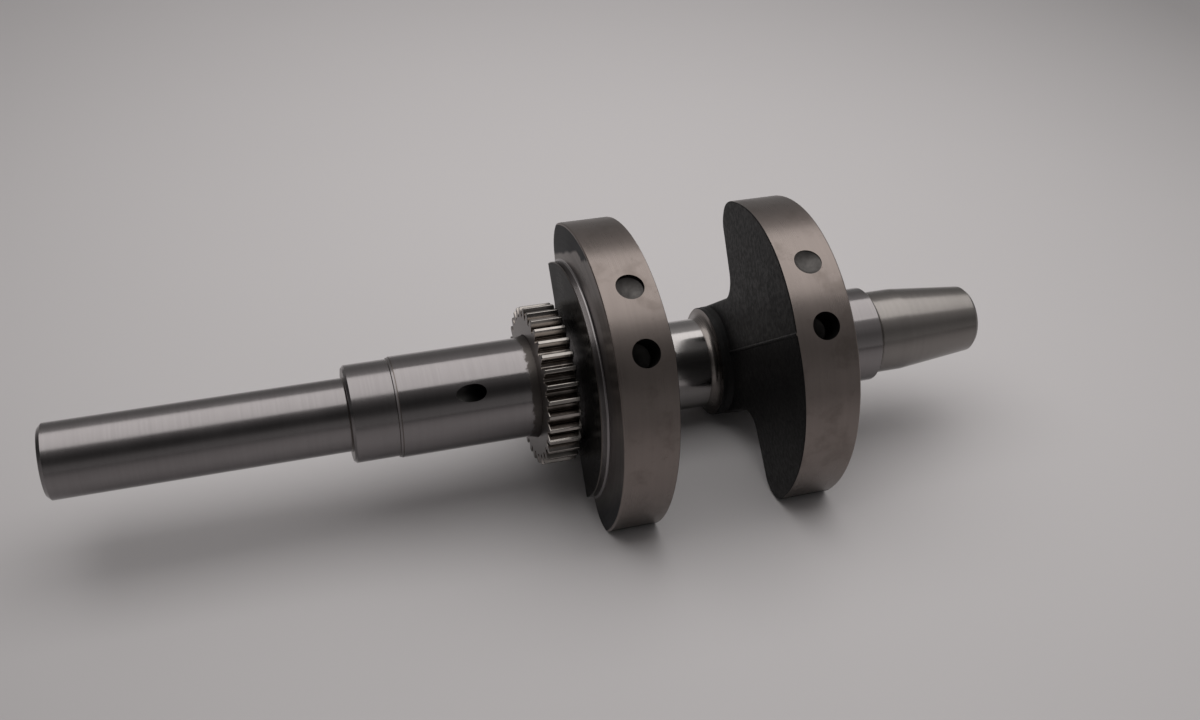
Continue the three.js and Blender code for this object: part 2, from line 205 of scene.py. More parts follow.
def lathe(profile, sides=SIDES, axis_u=0.0):
    """Closed solid turned about a line along x. profile is (x, radius, slot) from axis to axis."""
    angles = np.linspace(0, 2 * math.pi, sides, endpoint=False)
    circle = np.c_[np.zeros(sides), np.cos(angles), np.sin(angles)]
    vertices, rings = [], []
    for x, radius, _ in profile:
        first = len(vertices)
        if radius == 0:
            vertices.append([x, axis_u, 0])
            rings.append([first] * sides)
        else:
            vertices.extend(circle * radius + [x, axis_u, 0])
            rings.append(list(range(first, first + sides)))
    faces, slots = [], []
    for (low, high), (_, _, slot) in zip(zip(rings, rings[1:]), profile[1:]):
        for j in range(sides):
            k = (j + 1) % sides
            corners = [low[j], low[k], high[k], high[j]]
            faces.append(list(dict.fromkeys(corners)))
            slots.append(slot)
    return vertices, faces, slots


def moved(solid, matrix):
    vertices, faces, slots = solid
    return [matrix @ Vector(v) for v in vertices], faces, slots


def bend(x, radius, side, base, steps=8):
    """Quarter-round fillet of a turned profile, from the cylinder of radius base to the face at x."""
    points = []
    for angle in np.linspace(0, math.pi / 2, steps + 1):
        along = radius * (1 - math.sin(angle))
        points.append((x + side * along, base + radius * (1 - math.cos(angle))))
    return points


def box_solid(low, high, slot):
    (x0, y0, z0), (x1, y1, z1) = low, high
    vertices = [(x, y, z) for x in (x0, x1) for y in (y0, y1) for z in (z0, z1)]
    faces = [[0, 1, 3, 2], [4, 6, 7, 5], [0, 4, 5, 1], [2, 3, 7, 6], [0, 2, 6, 4], [1, 5, 7, 3]]
    return vertices, faces, [slot] * 6


def boring(start, end, radii, slot, sides=FINE):
    """Straight round cutter from start to end, with its radius given at even steps along it."""
    start, end = Vector(start), Vector(end)
    length = (end - start).length
    steps = np.linspace(0, length, len(radii))
    profile = [(0, 0, slot), *((x, r, slot) for x, r in zip(steps, radii)), (length, 0, slot)]
    turn = (end - start).to_track_quat("X", "Z").to_matrix().to_4x4()
    return moved(lathe(profile, sides), Matrix.Translation(start) @ turn)


# ---------------------------------------------------------------- parts of the forging


def output_side():
    lead = SEAL_END + LEAD_IN_LENGTH
    seat = GEAR_START - GEAR_SEAT_LEAD
    hidden = web1["outer"] + HIDDEN_OVERLAP
    return lathe([
        (0, 0, FACE),
        (0, PTO_RADIUS - 1.5, FACE),
        (1.5, PTO_RADIUS, SATIN),
        (PTO_LENGTH - 0.5, PTO_RADIUS, SATIN),
        (PTO_LENGTH, PTO_RADIUS + 0.5, FACE),
        (PTO_LENGTH, SEAL_RADIUS - 0.9, FACE),
        (PTO_LENGTH + 0.9, SEAL_RADIUS, POLISHED),
        (SEAL_END, SEAL_RADIUS, SATIN),
        (SEAL_END + 0.3, SEAL_RADIUS + 0.4, FACE),
        (lead - 0.4, JOURNAL_RADIUS - 0.15, SATIN),
        (lead, JOURNAL_RADIUS, FACE),
        (seat, JOURNAL_RADIUS, POLISHED),
        (seat + 2.4, GEAR_SEAT_RADIUS, POLISHED),
        (GEAR_END + 0.3, GEAR_SEAT_RADIUS, POLISHED),
        (GEAR_END + 0.3, GEAR_SHOULDER_RADIUS, FACE),
        (hidden, GEAR_SHOULDER_RADIUS, SATIN),
        (hidden, 0, FACE),
    ])


def flywheel_side():
    hidden = web2["outer"] - HIDDEN_OVERLAP
    shoulder = web2["outer"] + REAR_SHOULDER_HEIGHT
    groove = REAR_JOURNAL_END + UNDERCUT_WIDTH
    return lathe([
        (hidden, 0, FACE),
        (hidden, JOURNAL_RADIUS + 1.2, FACE),
        (shoulder - 0.2, JOURNAL_RADIUS + 1.2, FACE),
        (shoulder + 1, JOURNAL_RADIUS, POLISHED),
        (REAR_JOURNAL_END - REAR_CHAMFER, JOURNAL_RADIUS, POLISHED),
        (REAR_JOURNAL_END, JOURNAL_RADIUS - REAR_CHAMFER, TAPER),
        (REAR_JOURNAL_END, UNDERCUT_RADIUS, TAPER),
        (groove - 0.5, UNDERCUT_RADIUS, TAPER),
        (groove + 0.4, STUB_RADIUS, TAPER),
        (TAPER_START - 0.6, STUB_RADIUS, TAPER),
        (TAPER_START + 0.6, STUB_RADIUS - 0.06, TAPER),
        (TAPER_END, TAPER_END_RADIUS, TAPER),
        (SHAFT_LENGTH, TAPER_END_RADIUS - 1.3, FACE),
        (SHAFT_LENGTH, 0, FACE),
    ])


def crankpin():
    left = web1["inner"] + PIN_COLLAR_HEIGHT
    right = web2["inner"] - PIN_COLLAR_HEIGHT
    edge = 0.3
    hidden = 8
    left_fillet = [(x, r, PIN_SIDE) for x, r in reversed(bend(left, PIN_FILLET, 1, PIN_RADIUS))]
    right_fillet = [(x, r, PIN_SIDE) for x, r in bend(right, PIN_FILLET, -1, PIN_RADIUS)]
    right_fillet[0] = (*right_fillet[0][:2], PIN)
    return lathe([
        (web1["inner"] - hidden, 0, PIN),
        (web1["inner"] - hidden, PIN_COLLAR_RADIUS, PIN),
        (left - edge, PIN_COLLAR_RADIUS, FORGED),
        (left, PIN_COLLAR_RADIUS - edge, FORGED),
        *left_fillet,
        *right_fillet,
        (right, PIN_COLLAR_RADIUS - edge, PIN_SIDE),
        (right + edge, PIN_COLLAR_RADIUS, FORGED),
        (web2["inner"] + hidden, PIN_COLLAR_RADIUS, FORGED),
        (web2["inner"] + hidden, 0, PIN),
    ], axis_u=THROW)


FLASH_STEPS = [-FLASH_HALF_WIDTH, -FLASH_HALF_WIDTH / 3, FLASH_HALF_WIDTH / 3, FLASH_HALF_WIDTH]


def web_outline():
    """Forged outline as (u, w, normal u, normal w, rounding, flash), anticlockwise from the pin boss."""
    corner = corner_centre()
    rim_angle = math.atan2(corner[1], corner[0])
    neck_u, neck_w = WEB_BACK + NECK_FILLET, BOSS_RADIUS + NECK_FILLET
    stock = WEB_RADIUS + RIM_STOCK
    rows = []

    def add(centre, radius, angles, turn=1.0, rounding=None, flash=None):
        for n, angle in enumerate(angles):
            normal = np.array([math.cos(angle), math.sin(angle)])
            point = np.asarray(centre) + radius * normal
            rows.append([
                *point,
                *(normal * turn),
                1.0 if rounding is None else rounding[n],
                0.0 if flash is None else flash[n],
            ])

    boss_flash = [math.asin((FLASH_LINE + s) / BOSS_RADIUS) for s in FLASH_STEPS]
    boss = np.linspace(-math.pi / 2, math.pi / 2, 41)
    boss = np.sort(np.r_[boss[(boss < boss_flash[0] - 0.01) | (boss > boss_flash[3] + 0.01)], boss_flash])
    raised = np.isin(boss, boss_flash[1:3]).astype(float)
    add((THROW, 0), BOSS_RADIUS, boss, flash=raised)
    fillet = np.linspace(math.pi * 3 / 2, math.pi, 13)
    add((neck_u, neck_w), NECK_FILLET, fillet, turn=-1.0)
    around = np.linspace(0, rim_angle, 33)
    fade = np.clip((rim_angle - around) / math.radians(60), RIM_ROUNDING, 1)
    add(corner, WEB_CORNER_RADIUS, around, rounding=fade)
    rim_flash = [math.pi - math.asin((FLASH_LINE + s) / stock) for s in reversed(FLASH_STEPS)]
    rim = np.linspace(rim_angle + 0.08, 2 * math.pi - rim_angle - 0.08, 91)
    rim = np.sort(np.r_[rim[(rim < rim_flash[0] - 0.005) | (rim > rim_flash[3] + 0.005)], rim_flash])
    raised = np.isin(rim, rim_flash[1:3]).astype(float)
    add((0, 0), stock, rim, rounding=np.full(len(rim), RIM_ROUNDING), flash=raised)
    add(corner * [1, -1], WEB_CORNER_RADIUS, -around[::-1], rounding=fade[::-1])
    add((neck_u, -neck_w), NECK_FILLET, -fillet[::-1], turn=-1.0)
    return np.array(rows)


def web_blank(web):
    """Forged blank of one web: drafted inner cheek with its flash line, and stock on the outer face."""
    side = web["side"]
    outline = web_outline()
    point, normal, rounding, flash = outline[:, :2], outline[:, 2:4], outline[:, 4], outline[:, 5]
    count = len(outline)
    on_boss = point[:, 0] > THROW
    point = point + normal * (flash * on_boss * FLASH_HEIGHT)[:, None]

    def loop(inset, depth):
        flat = point - normal * (inset * rounding)[:, None]
        cheek = web["inner"] - side * CHEEK_DRAFT * np.abs(flat[:, 1] - FLASH_LINE)
        x = cheek - side * depth * rounding + side * flash * FLASH_HEIGHT
        return np.c_[x, flat]

    stock = loop(0, 0)
    stock[:, 0] = web["outer"] - side * STOCK_DEPTH
    curve = np.linspace(0, math.pi / 2, 8)
    loops = [stock]
    for angle in curve:
        inset = FORGED_ROUNDING * (1 - math.cos(angle))
        loops.append(loop(inset, FORGED_ROUNDING * (1 - math.sin(angle))))
    faces = [list(range(count))[::-1]]
    for level in range(len(loops) - 1):
        for i in range(count):
            j = (i + 1) % count
            low, high = level * count, (level + 1) * count
            faces.append([low + i, low + j, high + j, high + i])
    special = [i for i in range(count) if abs(point[i, 1] - FLASH_LINE) <= FLASH_HALF_WIDTH + 1e-6]
    b0, b1, b2, b3 = special[:4]
    r3, r2, r1, r0 = special[4:]
    top = (len(loops) - 1) * count
    caps = [
        list(range(b3, r3 + 1)),
        [*range(r0, count), *range(0, b0 + 1)],
        [b0, b1, r1, r0],
        [b1, b2, r2, r1],
        [b2, b3, r3, r2],
    ]
    faces.extend([top + i for i in cap] for cap in caps)
    if side < 0:
        faces = [face[::-1] for face in faces]
    return np.vstack(loops), faces, [FORGED] * len(faces)


def web_envelope(web, face):
    """What turning leaves of a web. face is (depth from the rim's plane, radius, slot), from the axis."""
    side = web["side"]
    width = abs(web["inner"] - web["outer"])
    profile = [
        *face,
        *((along, WEB_RADIUS - rise, RIM) for along, rise in reversed(bend(0, RIM_EDGE, 1, 0))),
        (width + 3, WEB_RADIUS, RIM),
        (width + 3, 0, FACE),
    ]
    profile[len(face)] = (0, WEB_RADIUS - RIM_EDGE, FACE)
    placed = [(web["outer"] + side * depth, radius, slot) for depth, radius, slot in profile]
    if side < 0:
        slots = [slot for _, _, slot in placed[1:]] + [FACE]
        placed = [(x, r, slot) for (x, r, _), slot in zip(placed, slots)][::-1]
    return lathe(placed)


def pad(web):
    """Forged pad under the ground thrust collar, running out onto the cheek towards the shaft."""
    side = web["side"]
    levels = [
        (PIN_COLLAR_HEIGHT - PIN_COLLAR_SIDE, PIN_COLLAR_RADIUS + 0.05, 0),
        (PIN_COLLAR_HEIGHT - PIN_COLLAR_SIDE - 0.5, BOSS_RADIUS - 0.15, 0.4),
        (-2, BOSS_RADIUS - 0.1, PAD_RUN),
        (-9, BOSS_RADIUS - 0.1, PAD_RUN),
    ]
    sides = 144
    vertices = []
    for height, radius, run in levels:
        angles = np.linspace(0, 2 * math.pi, sides, endpoint=False)
        u = THROW + radius * np.cos(angles) - run * np.clip(-np.cos(angles), 0, 1) ** 0.7
        vertices.extend(np.c_[np.full(sides, web["inner"] + side * height), u, radius * np.sin(angles)])
    faces = [list(range(sides)), [len(levels) * sides - 1 - i for i in range(sides)]]
    for level in range(len(levels) - 1):
        for i in range(sides):
            j = (i + 1) % sides
            low, high = level * sides, (level + 1) * sides
            faces.append([low + j, low + i, high + i, high + j])
    if side < 0:
        faces = [face[::-1] for face in faces]
    return vertices, faces, [FORGED] * len(faces)


def balance_hole(web, angle, depth, slot):
    """Drilling into the rim, at an angle from the line opposite the crankpin."""
    x = (web["outer"] + web["inner"]) / 2 + BALANCE_OFFSET
    point = BALANCE_RADIUS / math.tan(BALANCE_POINT)
    cutter = lathe([
        (-6, 0, slot),
        (-6, BALANCE_RADIUS, slot),
        (depth, BALANCE_RADIUS, DRILLED),
        (depth + point, 0, slot),
    ], sides=FINE)
    inward = Matrix.Rotation(math.pi + angle, 4, "X") @ Matrix.Rotation(-math.pi / 2, 4, "Z")
    place = Matrix.Translation((x, 0, 0)) @ inward @ Matrix.Translation((-WEB_RADIUS, 0, 0))
    return moved(cutter, place)


def oil_ways():
    inlet = Vector((OIL_INLET_X, -JOURNAL_RADIUS, 0))
    cavity = Vector((CAVITY_START, THROW, 0))
    into = (cavity - inlet).normalized()
    mouth = [OIL_DRILL_RADIUS + 0.8, OIL_DRILL_RADIUS, OIL_DRILL_RADIUS]
    middle = (web1["inner"] + web2["inner"]) / 2
    spacing = (WEB_GAP - 2 * PIN_COLLAR_HEIGHT) / 4
    plug_seat = Vector((web2["outer"] - PLUG_DEPTH, THROW, 0))
    outside = Vector((web2["outer"] + 4, THROW, 0))
    cutters = [
        boring(inlet - into * 6, inlet + into * 6, mouth, DRILLED),
        boring(inlet, cavity + into, [OIL_DRILL_RADIUS - 0.02] * 2, DRILLED),
        boring(cavity, plug_seat + Vector((0.5, 0, 0)), [CAVITY_RADIUS] * 2, DRILLED),
        boring(plug_seat, outside, [PLUG_RADIUS] * 2, DRILLED),
    ]
    for x in (middle - spacing, middle + spacing):
        surface = THROW + PIN_RADIUS
        radii = [CROSS_HOLE_RADIUS] * 12 + [CROSS_HOLE_RADIUS + 0.8]
        cutters.append(boring((x, THROW, 0), (x, surface + 0.5, 0), radii, DRILLED))
    return cutters


def centre_hole(x, turn, radius, depth):
    """Cutter of a countersunk hole on the shaft's axis, from the end face at x."""
    profile = [
        (-2, 0, DRILLED),
        (-2, radius + 3.6, DRILLED),
        (1.6, radius, DRILLED),
        (depth, radius, DRILLED),
        (depth + radius * 0.6, 0, DRILLED),
    ]
    place = Matrix.Translation((x, 0, 0)) @ Matrix.Rotation(turn, 4, "Z")
    return moved(lathe(profile, sides=FINE), place)


def keyways():
    """Cutters of the three keyways, each as (start, end, width, distance of its floor from the axis)."""
    gear_floor = GEAR_SEAT_RADIUS - KEY_DEPTH_IN_SHAFT - FIT_GAP
    slots = [
        (-2, PTO_KEYWAY_END, PTO_KEYWAY_WIDTH, PTO_RADIUS - PTO_KEYWAY_DEPTH),
        (TAPER_KEYWAY_START, TAPER_KEYWAY_END, TAPER_KEYWAY_WIDTH, TAPER_KEYWAY_FLOOR),
        (GEAR_START + 0.8, GEAR_END - 0.8, KEY_SIZE + 0.2, gear_floor),
    ]
    cutters = []
    for start, end, width, floor in slots:
        cutters.append(box_solid((start, floor, -width / 2), (end, floor + 10, width / 2), DRILLED))
    return cutters


# ---------------------------------------------------------------- joining and cutting


def boolean(target, operation, cutters):
    """target joined with, cut by or kept inside each cutter in turn. The cutters are used up."""
    for cutter in cutters:
        modifier = target.modifiers.new("cut", "BOOLEAN")
        modifier.solver = "MANIFOLD"
        modifier.operation = operation
        modifier.object = cutter
    apply_modifiers(target)
    for cutter in cutters:
        bpy.data.objects.remove(cutter)
    return target


def apply_modifiers(piece):
    graph = bpy.context.evaluated_depsgraph_get()
    mesh = bpy.data.meshes.new_from_object(piece.evaluated_get(graph))
    piece.modifiers.clear()
    piece.data = mesh


def finish_surface(piece, angle=28):
    """Smooth shading with crisp edges, with flat faces kept flat beside rounded ones."""
    mesh = piece.data
    work = bmesh.new()
    work.from_mesh(mesh)
    bmesh.ops.remove_doubles(work, verts=work.verts, dist=1e-7)
    bmesh.ops.dissolve_degenerate(work, edges=work.edges, dist=1e-7)
    work.to_mesh(mesh)
    work.free()
    mesh.polygons.foreach_set("use_smooth", [True] * len(mesh.polygons))
    mesh.set_sharp_from_angle(angle=math.radians(angle))
    weighted = piece.modifiers.new("weighted", "WEIGHTED_NORMAL")
    weighted.keep_sharp = True
    apply_modifiers(piece)


def forging(materials):
    def build(name, solid):
        return make_object(name, *solid, materials)

    thrust_face = [
        (-TURNED_RISE - FLANGE_HEIGHT, 0, FLANGE),
        (-TURNED_RISE - FLANGE_HEIGHT, FLANGE_RADIUS - 0.35, FLANGE),
        (-TURNED_RISE - FLANGE_HEIGHT + 0.35, FLANGE_RADIUS, FACE),
        *((-TURNED_RISE - along, FLANGE_RADIUS + rise, SATIN)
          for along, rise in bend(0, FLANGE_FILLET, 1, 0)),
    ]
    shoulder_face = [
        (-REAR_SHOULDER_HEIGHT, 0, FACE),
        (-REAR_SHOULDER_HEIGHT, REAR_SHOULDER_RADIUS - 0.5, FACE),
        (-REAR_SHOULDER_HEIGHT + 0.5, REAR_SHOULDER_RADIUS, FACE),
        (-TURNED_RISE, REAR_SHOULDER_RADIUS, SATIN),
        (-TURNED_RISE, FLANGE_RADIUS, FACE),
    ]
    webs = []
    for name, web, face in (("web_one", web1, thrust_face), ("web_two", web2, shoulder_face)):
        blank = build(name, web_blank(web))
        webs.append(boolean(blank, "INTERSECT", [build("envelope", web_envelope(web, face))]))
    body = build("forging", output_side())
    boolean(body, "UNION", [
        *webs,
        build("flywheel_side", flywheel_side()),
        build("pad_one", pad(web1)),
        build("pad_two", pad(web2)),
        build("crankpin", crankpin()),
    ])
    cuts = []
    for web in (web1, web2):
        cuts.append(balance_hole(web, slot=DRILLED, **DEEP_HOLE))
        cuts.append(balance_hole(web, SHALLOW_ANGLE, web["shallow"], DIMPLE))
    cuts += [*oil_ways(), centre_hole(**PTO_CENTRE_HOLE), centre_hole(**TAPER_CENTRE_HOLE), *keyways()]
    boolean(body, "DIFFERENCE", [build("cutter", cut) for cut in cuts])
    finish_surface(body)
    return body


# ---------------------------------------------------------------- timing gear, key and plug

TEETH, SIDE = range(2)


def tooth_flank():
    """Half of a tooth from its root up, as (radius, angle from the tooth's middle)."""
    base = GEAR_PITCH_RADIUS * math.cos(PRESSURE_ANGLE)
    root = GEAR_PITCH_RADIUS - GEAR_DEDENDUM
    tip = GEAR_PITCH_RADIUS + GEAR_ADDENDUM

    def involute(radius):
        roll = math.sqrt(max((radius / base) ** 2 - 1, 0))
        return roll - math.atan(roll)

    half = math.pi / (2 * GEAR_TEETH) + involute(GEAR_PITCH_RADIUS)
    gap = math.pi / GEAR_TEETH
    flank = [
        (root, gap * 0.999),
        (root, half + 0.018),
        (root + 0.12, half + 0.010),
        (root + 0.35, half + 0.005),
    ]
    for radius in np.linspace(base, tip - 0.12, 9):
        flank.append((radius, half - involute(radius)))
    flank.append((tip, half - involute(tip) - 0.004))
    return flank


def gear_outline():
    rows = []
    flank = tooth_flank()
    for tooth in range(GEAR_TEETH):
        middle = 2 * math.pi * tooth / GEAR_TEETH
        rows += [(radius, middle - half) for radius, half in flank]
        rows += [(radius, middle + half) for radius, half in reversed(flank[1:])]
    return np.array(rows)


def timing_gear(materials):
    outline = gear_outline()
    radius, angle = outline.T
    bore = GEAR_SEAT_RADIUS + 0.03
    rim = radius.min() - 0.6

    def ring(x, radii):
        return np.c_[np.full(len(angle), x), radii * np.cos(angle), radii * np.sin(angle)]

    chamfered = np.maximum(radius - GEAR_EDGE, radius.min() - 0.05)
    rings = [
        ring(GEAR_START, np.full(len(angle), bore + 0.4)),
        ring(GEAR_START, np.full(len(angle), rim)),
        ring(GEAR_START, chamfered),
        ring(GEAR_START + GEAR_EDGE, radius),
        ring(GEAR_END - GEAR_EDGE, radius),
        ring(GEAR_END, chamfered),
        ring(GEAR_END, np.full(len(angle), rim)),
        ring(GEAR_END, np.full(len(angle), bore + 0.4)),
        ring(GEAR_END - 0.4, np.full(len(angle), bore)),
        ring(GEAR_START + 0.4, np.full(len(angle), bore)),
    ]
    count = len(angle)
    faces, slots = [], []
    for level in range(len(rings)):
        low, high = level * count, (level + 1) % len(rings) * count
        for i in range(count):
            j = (i + 1) % count
            faces.append([low + i, low + j, high + j, high + i])
            slots.append(TEETH if 2 <= level <= 4 else SIDE)
    gear = make_object("timing_gear_toothed", np.vstack(rings), faces, slots, materials)
    top = GEAR_SEAT_RADIUS - KEY_DEPTH_IN_SHAFT + KEY_SIZE + 0.08
    half = KEY_SIZE / 2 + 0.05
    slot = box_solid((GEAR_START - 2, top - 6, -half), (GEAR_END + 2, top, half), SIDE)
    boolean(gear, "DIFFERENCE", [make_object("slot", *slot, materials)])
    finish_surface(gear)
    return gear


def timing_key(steel):
    base = GEAR_SEAT_RADIUS - KEY_DEPTH_IN_SHAFT
    middle = GEAR_START + GEAR_WIDTH / 2
    low = (middle - KEY_LENGTH / 2, base, -KEY_SIZE / 2)
    high = (middle + KEY_LENGTH / 2, base + KEY_SIZE, KEY_SIZE / 2)
    key = make_object("timing_key", *box_solid(low, high, 0), [steel])
    bevel = key.modifiers.new("bevel", "BEVEL")
    bevel.width = 0.25 * MM
    bevel.segments = 3
    apply_modifiers(key)
    finish_surface(key)
    return key


def cup_plug(steel):
    outer = PLUG_RADIUS - 0.05
    inner = outer - PLUG_WALL
    floor = web2["outer"] - PLUG_DEPTH + FIT_GAP
    rim = web2["outer"] - 0.8
    solid = lathe([
        (floor, 0, 0),
        (floor, outer - 0.9, 0),
        (floor + 0.3, outer - 0.35, 0),
        (floor + 0.9, outer, 0),
        (rim - 0.3, outer, 0),
        (rim, outer - 0.3, 0),
        (rim, inner + 0.3, 0),
        (rim - 0.3, inner, 0),
        (floor + PLUG_WALL + 1.0, inner, 0),
        (floor + PLUG_WALL + 0.3, inner - 0.3, 0),
        (floor + PLUG_WALL, inner - 1.0, 0),
        (floor + PLUG_WALL, 0, 0),
    ], sides=96, axis_u=THROW)
    plug = make_object("cup_plug", *solid, [steel])
    finish_surface(plug)
    return plug


# ---------------------------------------------------------------- materials

STEEL = (0.233, 0.219, 0.2205)
TAPER_STEEL = (0.229, 0.214, 0.204)
PIN_STEEL = (0.36, 0.345, 0.34)
WARM_STEEL = (0.212, 0.182, 0.168)
THRUST_STEEL = (0.2, 0.182, 0.172)
DULL_STEEL = (0.118, 0.103, 0.095)
GEAR_STEEL = (0.34, 0.315, 0.295)
GEAR_SIDE_STEEL = (0.18, 0.166, 0.16)
BORE_STEEL = (0.07, 0.068, 0.066)
DIMPLE_STEEL = (0.095, 0.09, 0.087)
STAIN = (0.095, 0.077, 0.065, 1)
# brown seat film beside the gear; part of its darkening is painted shade of the gear
SEAT_FILM_AND_SHADE = (0.1, 0.09, 0.084, 1)
# the gear's teeth turn darker and browner towards their roots
TOOTH_ROOT_BROWN = (0.07, 0.052, 0.041, 1)
# near black, with almost no reflection, on the flange's thrust face
NEAR_BLACK_SHADES = ((0.0035, 0.0034, 0.0033, 1), (0.007, 0.0067, 0.0064, 1))
SCALE_SHADES = ((0.0035, 0.0035, 0.0037, 1), (0.007, 0.0067, 0.0065, 1))
SCALE_FLECKS = (0.015, 0.0145, 0.014, 1)
TIP_SHADES = ((0.014, 0.0148, 0.0165, 1), (0.024, 0.0255, 0.029, 1))
TIP_BORDER = 50.9  # millimetres from the axis, across, on the line through the shaft
TIP_SLOPE = 0.13
UPPER_TIP_FADE = 0.8
# the lower tip's wide border makes the face darken gradually towards the bottom
LOWER_TIP_FADE = 6
NOTCH_START = -34
# where the seat film and the gear's painted shade begin, in millimetres
FILM_AND_SHADE_START = 178.2


class Tree:
    """Short way to add and join the nodes of a material or a world."""

    def __init__(self, owner, shader="Principled BSDF"):
        owner.use_nodes = True
        self.owner = owner
        self.nodes = owner.node_tree.nodes
        self.links = owner.node_tree.links
        self.shader = self.nodes[shader]

    def add(self, kind, inputs=None, **settings):
        node = self.nodes.new("ShaderNode" + kind)
        for name, value in settings.items():
            setattr(node, name, value)
        for key, value in (inputs or {}).items():
            self.join(value, node.inputs[key])
        return node

    def join(self, value, socket):
        if isinstance(value, bpy.types.NodeSocket):
            self.links.new(value, socket)
        else:
            socket.default_value = value

    def math(self, operation, a, b=0.0):
        return self.add("Math", {0: a, 1: b}, operation=operation).outputs[0]

    def noise(self, vector, scale, detail=3.0, rough=0.55, extra=None):
        inputs = {"Vector": vector, "Scale": scale, "Detail": detail, "Roughness": rough}
        if extra is None:
            return self.add("TexNoise", inputs).outputs["Fac"]
        return self.add("TexNoise", {**inputs, "W": extra}, noise_dimensions="4D").outputs["Fac"]

    def remap(self, value, low, high, to_low, to_high, smooth=False):
        inputs = {"Value": value, "From Min": low, "From Max": high, "To Min": to_low, "To Max": to_high}
        kind = "SMOOTHSTEP" if smooth else "LINEAR"
        return self.add("MapRange", inputs, interpolation_type=kind).outputs["Result"]

    def mix(self, factor, a, b, blend="MIX"):
        node = self.add("Mix", data_type="RGBA", blend_type=blend)
        self.join(factor, node.inputs[0])
        self.join(a, node.inputs[6])
        self.join(b, node.inputs[7])
        return node.outputs[2]

    def set(self, **sockets):
        for name, value in sockets.items():
            self.join(value, self.shader.inputs[name.replace("_", " ")])
        return self.owner

    def crank_position(self):
        """Position in the crank's own frame, in metres."""
        inverse = CRANK.inverted()
        rotation = inverse.to_euler()
        place = self.add("TexCoord").outputs["Object"]
        inputs = {"Vector": place, "Location": inverse.to_translation(), "Rotation": rotation}
        return self.add("Mapping", inputs, vector_type="POINT").outputs["Vector"]

    def turning(self, axis_u=0.0):
        """Sockets of the position, of its x, u and w, and of the distance from a line along x."""
        position = self.crank_position()
        split = self.add("SeparateXYZ", {"Vector": position})
        x, u, w = split.outputs
        u = self.math("SUBTRACT", u, axis_u * MM)
        square = self.math("ADD", self.math("MULTIPLY", u, u), self.math("MULTIPLY", w, w))
        radius = self.math("SQRT", square)
        return position, x, u, w, radius

    def tool_marks(self, x, u, w, radius, pitch, run):
        """Noise drawn out round the axis: marks `pitch` mm apart that last for about `run` mm."""
        across, along = 1 / (pitch * MM), 1 / (run * MM)
        vector = self.add("CombineXYZ", {
            "X": self.math("MULTIPLY", x, across),
            "Y": self.math("MULTIPLY", radius, across),
            "Z": self.math("MULTIPLY", u, along),
        }).outputs["Vector"]
        return self.noise(vector, 1.0, detail=2.0, extra=self.math("MULTIPLY", w, along))


def shade(colour, factor):
    return (*(c * factor for c in colour), 1.0)


def machined(name, colour, roughness, pitch, bump, axis_u=0.0, tint=0.06, layers=()):
    """Ground or turned steel, with its marks running round the axis and layers over it: stains, scale,
    darkening, and a seat film that is partly painted shade.
    """
    t = Tree(bpy.data.materials.new(name))
    place = t.turning(axis_u)
    position, x, u, w, radius = place
    fine = t.tool_marks(x, u, w, radius, pitch, 20)
    broad = t.tool_marks(x, u, w, radius, pitch * 9, 45)
    cloud = t.noise(position, 45.0, detail=4.0)
    level = t.math("ADD", t.math("MULTIPLY", broad, 0.6), t.math("MULTIPLY", cloud, 0.4))
    base = t.mix(t.remap(level, 0.3, 0.7, 0, 1), shade(colour, 1 - tint), shade(colour, 1 + tint))
    rough = t.remap(t.math("ADD", fine, cloud), 0.7, 1.3, roughness - 0.03, roughness + 0.04)
    for layer in layers:
        base, rough = layer(t, place, base, rough)
    height = t.math("ADD", fine, t.math("MULTIPLY", broad, 0.5))
    normal = t.add("Bump", {"Height": height, "Strength": 1.0, "Distance": bump * MM}).outputs["Normal"]
    return t.set(Base_Color=base, Metallic=1.0, Roughness=rough, Normal=normal)


def stained(t, place, base, rough):
    """Faint smudges, brown blots and pits of old oil on bare steel."""
    position = place[0]
    smudge = t.remap(t.noise(position, 85.0, detail=5.0, rough=0.6), 0.5, 0.68, 0, 0.3, smooth=True)
    blot = t.remap(t.noise(position, 150.0, detail=6.0, rough=0.7), 0.6, 0.74, 0, 0.4, smooth=True)
    pits = t.remap(t.noise(position, 620.0, detail=3.0, rough=0.6), 0.70, 0.76, 0, 0.4, smooth=True)
    mask = t.math("MAXIMUM", smudge, t.math("MAXIMUM", blot, pits))
    return t.mix(mask, base, STAIN), t.math("ADD", rough, t.math("MULTIPLY", mask, 0.1))


def seat_film_and_gear_shade(t, place, base, rough):
    """Dull brown film where the shaft runs up to the gear, with a worn border; part of its darkening is
    painted shade of the gear.
    """
    position, x = place[:2]
    wander = t.remap(t.noise(position, 420.0, detail=4.0), 0.3, 0.7, -0.8 * MM, 0.8 * MM)
    near = t.remap(t.math("ADD", x, wander), FILM_AND_SHADE_START * MM, (FILM_AND_SHADE_START + 1.2) * MM, 0, 1, smooth=True)
    mask = t.math("MULTIPLY", near, t.math("LESS_THAN", x, WEB1_START * MM))
    return t.mix(mask, base, SEAT_FILM_AND_SHADE), t.math("ADD", rough, t.math("MULTIPLY", mask, 0.26))


def tooth_root_darkening(t, place, base, rough):
    """Patchy brown darkening that grows towards the roots of the gear's teeth."""
    position, radius = place[0], place[4]
    root = GEAR_PITCH_RADIUS - GEAR_DEDENDUM
    tip = GEAR_PITCH_RADIUS + GEAR_ADDENDUM
    depth = t.remap(radius, (root + 0.4) * MM, (tip - 0.6) * MM, 0.75, 0)
    patchy = t.math("MULTIPLY", depth, t.remap(t.noise(position, 260.0), 0.35, 0.6, 0.6, 1))
    return t.mix(patchy, base, TOOTH_ROOT_BROWN), rough


